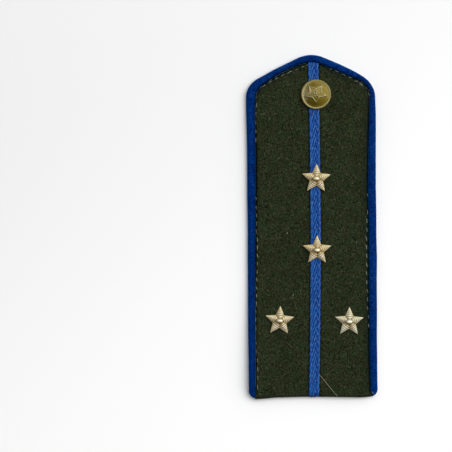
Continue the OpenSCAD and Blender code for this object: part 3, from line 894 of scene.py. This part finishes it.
def seam_stitches():
    """The stitches that show: short bowed threads of two plies along the seam, sunk where few of them show,
    and the slanting ones at the corners."""
    rng = np.random.default_rng(8)
    middle = stitch_middles()
    one_each = middle.shape
    longest = np.abs(middle - LONG_STITCH) < 1
    t = np.linspace(-1, 1, 9)
    bow = np.clip(1 - np.abs(t) ** 3, 0, 1)
    s = middle + rng.normal(STITCH_LEN / 2, 0.12, one_each) * (1 + 0.4 * longest) * t
    slant = rng.normal(0.1, 0.12, one_each) * t + rng.normal(0, 0.05, one_each)
    inset = thread_at(middle) + slant
    inset[-1] -= 0.5
    place = on_edge(s, lip_at(s) + inset)
    x, y = place[..., 0], place[..., 1]
    sunk = 0.45 * (1 - np.minimum(shown_at(middle), 1)) * rng.uniform(0.7, 1.3, one_each)
    over_braid = 0.72 * ramp(0.2 - past_braid(x, y), 0, 0.5) * (y > POINT_FROM)
    z = np.maximum(cloth_top(x, y), 2.45) + 0.22 * bow - 0.12 - sunk + over_braid
    path = np.concatenate([np.stack([x, y, z], -1), corner_stitches(t, bow)])
    size = STITCH_R * (0.55 + 0.45 * np.clip(1 - np.abs(t) ** 6, 0, 1)) * np.ones((len(path), 1))
    size[-2:] *= 0.7
    size[:len(middle)][longest[:, 0]] *= 0.72
    twist = 5.0 * t + rng.uniform(0, 6, (len(path), 1))
    points, faces = tubes(path, size, size, 8, 2, twist)
    return lay_mesh("seam_stitches", points, faces, thread_finish())


def stray_threads():
    """One long stray hair from the braid to the lower edge, and two short bits of pale lint, each a line
    with a slight sine wave in it."""
    t = np.linspace(0, 1, 24)[None]
    hair_x = 2.9 + 8.9 * t + 0.25 * np.sin(5 * t)
    hair_y = 11.2 - 10.7 * t - 0.35 * np.sin(4.3 * t)
    hair_z = cloth_top(hair_x, hair_y) + 0.12 + 0.75 * (1 - ramp(t, 0.0, 0.16))
    lint_x = np.array([[-8.7], [-11.2]]) + 0.35 * (t - 0.5) + 0.12 * np.sin(4 * t)
    lint_y = np.array([[48.0], [76.5]]) + 0.5 * (t - 0.5)
    lint_z = cloth_top(lint_x, lint_y) + 0.14
    path = np.concatenate([np.stack([hair_x, hair_y, hair_z], -1), np.stack([lint_x, lint_y, lint_z], -1)])
    size = np.repeat([[0.08], [0.13], [0.17]], t.shape[1], 1)
    points, faces = tubes(path, size, size, 6)
    return lay_mesh("stray_threads", points, faces, stray_finish())


# Stars and button

def from_ray(turn):
    """Angle from the nearest of a star's five rays."""
    return np.abs((turn + NOTCH_TURN) % (2 * NOTCH_TURN) - NOTCH_TURN)


def star_reach(away):
    """Distance from a star's middle to its outline, at an angle from the nearest ray: the straight line
    from tip to notch."""
    spread = STAR_R * np.sin(away) + NOTCH_R * np.sin(NOTCH_TURN - away)
    return STAR_R * NOTCH_R * np.sin(NOTCH_TURN) / spread


def lower_side(turn):
    """0 towards the board's point and 1 towards its lower edge, a cosine between them."""
    return 0.5 - 0.5 * np.cos(turn)


def rings(place, r, turn, z):
    """Points of rings round an upright axis, with their turn counted from the board's point to the left."""
    x, y, low = place
    return np.stack([x - r * np.sin(turn), y + r * np.cos(turn), low + z], -1)


def star_height(r, turn):
    """Height of a star's face: rounded rays with valleys between them, and ribs across each ray that fade
    out before its tip. Also how light each place is, from 0 in the grooves to 1 on the crests, as wear and
    painted light: the ribs' painted light is stronger on the lower rays and weaker on the side rays,
    painted highlights whiten the side rays' tips, and the valleys near the boss are darker."""
    away = from_ray(turn)
    out, aside = r * np.cos(away), r * np.sin(away)
    notch_out, notch_aside = NOTCH_R * np.cos(NOTCH_TURN), NOTCH_R * np.sin(NOTCH_TURN)
    beyond = notch_aside * (STAR_R - out) / (STAR_R - notch_out)
    half = np.where(out < notch_out, out * np.tan(NOTCH_TURN), beyond)
    share = np.clip(aside / np.maximum(half, 0.02), 0, 1)
    ridge = 0.5 + 0.65 * (1 - out / STAR_R)
    valley = 0.5 + 0.5 * np.maximum(0, 1 - out / notch_out)
    body = valley + (ridge - valley) * (1 - share ** 1.6)
    beat = (out + 0.2 * share ** 2 - 2.05) / RIB_PITCH
    crest = np.abs(np.cos(np.pi * beat)) ** 0.9 - 0.5
    across, down = np.abs(np.sin(turn)), -np.cos(turn)
    ribbed = ramp(out, 1.55, 1.9) * (1 - ramp(out, 5.0, 6.0)) * (1 - 0.5 * share ** 3)
    # Painted light on the ribs: their crests and grooves contrast more on the lower rays and less on the
    # side rays
    ribbed = ribbed * (0.9 + 0.35 * ramp(down, 0.2, 0.6) - 0.15 * ramp(across, 0.65, 0.88))
    # Painted highlights at the tips of the side rays
    wear_and_painted_light = 0.45 + 0.95 * crest * ribbed + 0.25 * ramp(out, 5.6, 6.8) * r * across / STAR_R
    wear_and_painted_light -= 0.5 * share ** 4 * (1 - ramp(out, 2.6, 4.5))
    return body + 0.27 * crest * ribbed, np.clip(wear_and_painted_light, 0, 1)


def star_boss(turn):
    """Radius, height and lightness of the boss's rings: a dome that is wider across the board than along
    it, with a painted glint on top and painted shade on its lower side.
    """
    cap = np.linspace(0.05, 1.35, 11)[:, None]
    r = (1.2 + 0.5 * np.sin(turn) ** 2) * np.sin(cap)
    z = np.broadcast_to(1.15 + np.cos(cap) ** 0.65, r.shape)
    painted_glint = bell(r * np.sin(turn), 1.5, 4) * bell(r * np.cos(turn) - 0.1, 0.6)
    return r, z, 0.3 + 0.7 * painted_glint - 0.3 * ramp(cap, 0.6, 1.2) * lower_side(turn) ** 2


def star_face(turn, reach):
    """Radius, height and lightness of the face's rings, from a groove round the boss out to the outline,
    darkened below the boss by painted shade.
    """
    foot = 1.28 + 0.5 * np.sin(turn) ** 2
    r = foot + (reach - foot) * np.linspace(0, 1, 74)[:, None]
    z, wear_and_painted_light = star_height(r, turn)
    z -= 0.06 * bell(r - foot, 0.12)
    z[-1] -= 0.06
    # Painted shade: a dark crescent just below the boss
    return r, z, wear_and_painted_light * (1 - bell(r - foot, 0.5) * lower_side(turn) ** 2)


def metal_star(name, finish, row):
    """A stamped star: rings from the boss over the face to the outline, with blunt tips, a rounded border,
    and a flat underside."""
    *place, lean, tarnish = row
    turn = np.linspace(0, 2 * np.pi, 160, endpoint=False)[None]
    away = from_ray(turn)
    reach = star_reach(away) - 0.12 * bell(away, 0.05)
    boss, face = star_boss(turn), star_face(turn, reach)
    edge_r = reach - [[0], [0.02], [0.12], [0.5]]
    edge_z = np.concatenate([face[1][-1:] - 0.12, np.repeat([[0.12], [0.03], [0]], turn.size, 1)])
    edge = (edge_r, edge_z, np.full(edge_r.shape, 0.3))
    r, z, wear_and_painted_light = (np.concatenate(parts) for parts in zip(boss, face, edge))
    grid = rings(place, r, turn + np.radians(lean), z)
    marks = {"wear_and_painted_light": wear_and_painted_light, "tarnish": np.full(r.shape, tarnish)}
    faces = closed_skin(*r.shape)
    return lay_mesh(name + "_gilt", grid, faces, finish, [name], marks, crease=50)


def inside_star(x, y):
    """How far inside the button's star, which is upside down, a place lies, square to its nearest side."""
    far, away = np.hypot(x, y), from_ray(np.arctan2(x, y) - np.radians(2) + np.pi)
    run = BUTTON_STAR_R - BUTTON_NOTCH_R * np.cos(NOTCH_TURN)
    rise = BUTTON_NOTCH_R * np.sin(NOTCH_TURN)
    return ((BUTTON_STAR_R - far * np.cos(away)) * rise - far * np.sin(away) * run) / np.hypot(run, rise)


def button_height(r, turn):
    """Height of the button inside its rim: a dome with a fine ring, a star upside down and a little wider
    than tall with a raised outline, and a rosette of beads in its middle. Also how light each place is, as
    wear and painted light: painted reflections make it lightest at both sides and darkest below the star,
    and painted highlights light the star's outline, the beads, the fine ring and the dome's edge."""
    x, y = 0.82 * (r * np.sin(turn) - 0.25), 0.98 * (r * np.cos(turn) - 0.42)
    inside = inside_star(x, y)
    line = bell(inside - 0.34, 0.26)
    plate = ramp(inside, -0.05, 0.35)
    ring = bell(r - 5.45, 0.12)
    bead = np.hypot(r * np.cos(from_ray(turn)) - 1.15, r * np.sin(from_ray(turn)))
    beads = bell(bead, 0.3) + 1.2 * bell(r, 0.38)
    dome = DOME_TOP + np.sqrt(DOME_R ** 2 - r ** 2) - DOME_R
    z = dome + 0.05 * ring + 0.1 * plate + 0.12 * line + 0.22 * beads + 0.08 * ramp(r, 5.5, DOME_END)
    # Painted reflection: the dome lighter at both sides, most at the left, and painted shade below the star
    field = 0.15 + (0.4 + 0.35 * np.sin(turn)) * np.sin(turn) ** 4 * ramp(r, 2, 5) - 0.15 * ramp(-y, 1.5, 3)
    # Painted light on the star: lighter to the left, with painted shade on its lower part
    relief = 0.4 + 0.04 * r * np.sin(turn) - 0.45 * ramp(-y, 0.8, 2.6)
    # Painted highlights on the star's outline, the beads and the fine ring
    wear_and_painted_light = field * (1 - plate) + relief * plate + 0.3 * ring + 0.75 * line + 0.9 * beads
    return z, np.clip(wear_and_painted_light + 0.2 * ramp(r, 5.7, DOME_END), 0, 1.4)


def brass_button():
    """The button: rings from the middle over the dome, down into the groove, over the rolled rim and in
    under it, all at the same angles."""
    turn = np.linspace(0, 2 * np.pi, 240, endpoint=False)[None]
    dome_r = np.linspace(0.04, DOME_END, 88)[:, None] + 0 * turn
    dome_z, dome_wear_and_painted_light = button_height(dome_r, turn)
    roll = np.linspace(np.radians(112), np.radians(-90), 18)[:, None] + 0 * turn
    # Painted light on the rolled rim: lighter on top of the roll and to the left, darker underneath and
    # towards the board's point
    roll_painted_light = 0.45 + 0.2 * np.sin(roll) + 0.1 * np.sin(turn) ** 3 - 0.15 * np.cos(turn)
    r = np.concatenate([dome_r, RIM_R + RIM_W * np.cos(roll)])
    z = np.concatenate([dome_z, RIM_T + RIM_T * np.sin(roll)])
    marks = {"wear_and_painted_light": np.concatenate([dome_wear_and_painted_light, roll_painted_light])}
    grid, faces = rings(BUTTON_AT, r, turn, z), closed_skin(*r.shape)
    return lay_mesh("brass_button", grid, faces, button_finish(), ["button"], marks)


# Floor, light and camera

def floor():
    """A plain pale floor that the board lies on, with painted light falloff: greyer towards the board's
    point and to the left. From behind it is clear.
    """
    mesh = bpy.data.meshes.new("floor")
    mesh.from_pydata([(-3, -3, 0), (3, -3, 0), (3, 3, 0), (-3, 3, 0)], [], [(0, 1, 2, 3)])
    f = Finish("floor_painted_falloff", Roughness=0.9, Specular_IOR_Level=0.1)
    place = f.put("SeparateXYZ", {0: f.place}).outputs
    slope = f.math("SUBTRACT", f.math("MULTIPLY", place[0], 0.35), place[1])
    # Painted light falloff: the floor's colour greys towards the board's point and to the left
    f.wear("Base Color", f.blend(f.window(slope, -0.12, 0.10), (0.80, 0.80, 0.80), (0.91, 0.91, 0.91)))
    behind = f.put("NewGeometry").outputs["Backfacing"]
    f.wear("Alpha", f.math("SUBTRACT", 1.0, behind))
    mesh.materials.append(f.material)
    piece = bpy.data.objects.new("floor", mesh)
    bpy.context.scene.collection.objects.link(piece)


def lamp(name, turn, rise, far, size, power):
    """A square soft light aimed at the board, placed by its turn from +X, its rise and its distance."""
    data = bpy.data.lights.new(name, "AREA")
    data.shape = "SQUARE"
    data.size = size
    data.energy = power
    piece = bpy.data.objects.new(name, data)
    a, e = np.radians(turn), np.radians(rise)
    place = far * np.array([np.cos(a) * np.cos(e), np.sin(a) * np.cos(e), np.sin(e)])
    piece.location = place
    piece.rotation_euler = Vector(-place).to_track_quat("-Z", "Y").to_euler()
    bpy.context.scene.collection.objects.link(piece)


def room(level, walls):
    """Dim light from all round, and more from low down on some sides: each wall is a direction and a gain,
    and the room is brighter the nearer one looks to that direction."""
    world = bpy.data.worlds.new("soft_room")
    world.use_nodes = True
    tree = world.node_tree
    way = put_node(tree, "TexCoord").outputs["Generated"]
    light = level
    for direction, gain in walls:
        facing = put_node(tree, "VectorMath", {0: way, 1: direction}, operation="DOT_PRODUCT")
        span = {0: facing.outputs["Value"], 1: WALL_FROM, 2: WALL_FULL, 3: 0.0, 4: gain}
        shine = put_node(tree, "MapRange", span, interpolation_type="SMOOTHSTEP")
        light = put_node(tree, "Math", {0: light, 1: shine.outputs[0]}, operation="ADD").outputs[0]
    ground = next(node for node in tree.nodes if node.type == "BACKGROUND")
    ground.inputs["Color"].default_value = (1, 1, 1, 1)
    tree.links.new(light, ground.inputs["Strength"])
    bpy.context.scene.world = world


def camera():
    """Straight above the photograph's middle, turned by the little that the board leans."""
    data = bpy.data.cameras.new("camera")
    data.sensor_width = 36.0
    data.lens = 36.0 * CAMERA_FAR / (VIEW_W * MM)
    data.clip_start = 0.01
    piece = bpy.data.objects.new("camera", data)
    lean = np.radians(BOARD_LEAN)
    right, up = VIEW_FROM_BOARD * PIXEL * MM
    x = right * np.cos(lean) + up * np.sin(lean)
    y = up * np.cos(lean) - right * np.sin(lean)
    piece.location = (x, y, CAMERA_FAR + 0.002)
    piece.rotation_euler = (0, 0, -lean)
    bpy.context.scene.collection.objects.link(piece)
    bpy.context.scene.camera = piece


# The whole board

camera()
wool_field()
wool_nap()
piping_cloth()
braid_strands()
seam_stitches()
gilt = star_finish()
for star, row in STARS.items():
    metal_star(star, gilt, row)
brass_button()
stray_threads()
floor()
lamp("key", turn=35, rise=68, far=1.6, size=1.5, power=21.2)
lamp("side", turn=28, rise=44, far=1.6, size=1.2, power=8.4)
room(0.03, [((1, 0, 0), 0.8), ((-1, 0, 0), 0.3), ((0, 1, 0), 0.75), ((-0.5, 0.87, 0), 0.35)])
bpy.context.scene.view_settings.view_transform = "Standard"
